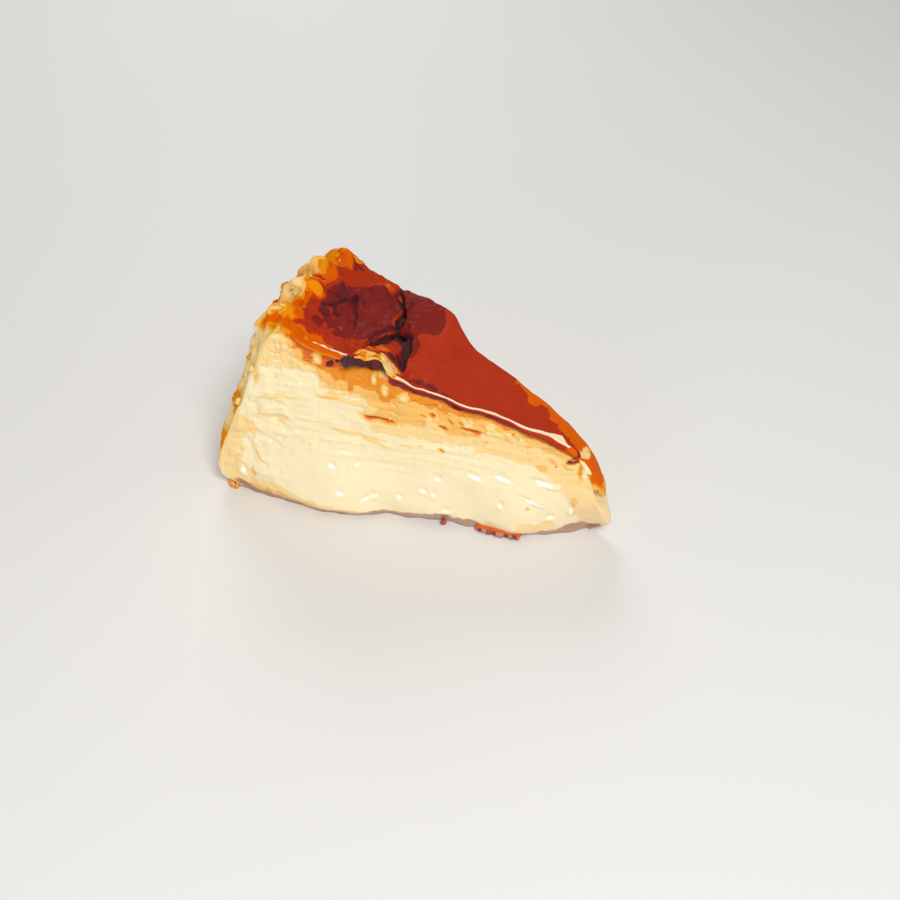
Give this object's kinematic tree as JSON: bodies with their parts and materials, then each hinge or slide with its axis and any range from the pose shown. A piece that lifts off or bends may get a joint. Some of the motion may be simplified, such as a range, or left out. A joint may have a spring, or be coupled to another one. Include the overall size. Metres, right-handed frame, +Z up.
{
  "type": "basque burnt cheesecake slice",
  "caption": "Wedge of crustless burnt cheesecake: scorched puckered top sloping to a soft tip, pale slumped cut faces, torn skin at one edge.",
  "frame": {"origin": "middle of the slice's bounding box, on the plane it rests on", "axes": "+X along the middle of the wedge from the rim to the tip, +Z up, -Y the cut side with the torn skin"},
  "size_m": [0.1146, 0.0539, 0.0628],
  "materials": {
    "cheesecake": "moist set custard, cream and amber at the cuts, under a satin red-brown scorched skin"
  },
  "bodies": {
    "root": {"cheesecake_slice": "cheesecake"}
  },
  "joints": []
}
